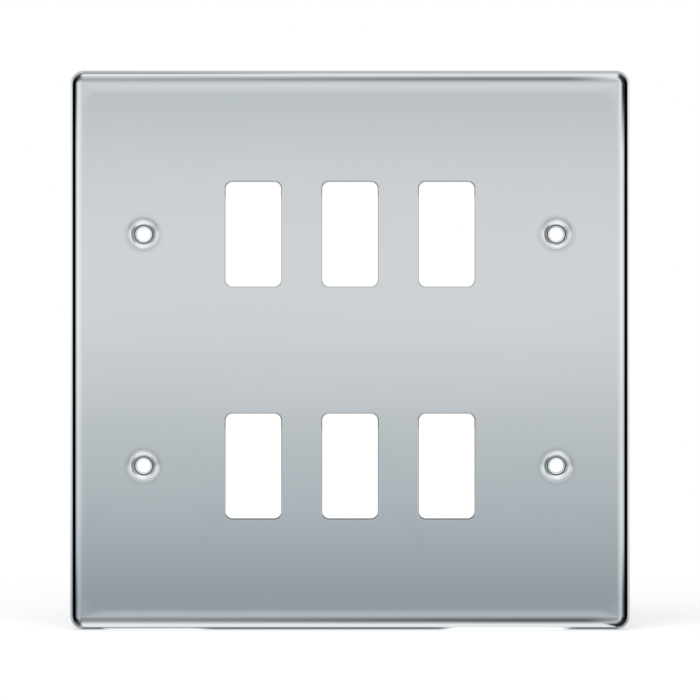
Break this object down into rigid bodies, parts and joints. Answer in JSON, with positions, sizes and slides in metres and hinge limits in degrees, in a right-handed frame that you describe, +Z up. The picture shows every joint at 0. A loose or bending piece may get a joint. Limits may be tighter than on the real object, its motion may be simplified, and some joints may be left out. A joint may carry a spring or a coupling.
{
  "type": "grid switch plate",
  "caption": "Square pressed-metal wall plate with rolled edges, rows of rounded rectangular apertures for rocker switch modules, and dished screw holes at both sides.",
  "frame": {"origin": "middle of the plate on the wall plane, where the rim of the pan seats", "axes": "+Z up the wall, +X to the right seen from the front, +Y into the wall, so the polished front faces -Y"},
  "size_m": [0.146, 0.007, 0.146],
  "materials": {
    "plated_steel": "polished"
  },
  "bodies": {
    "root": {"front_plate": "plated_steel"}
  },
  "joints": []
}
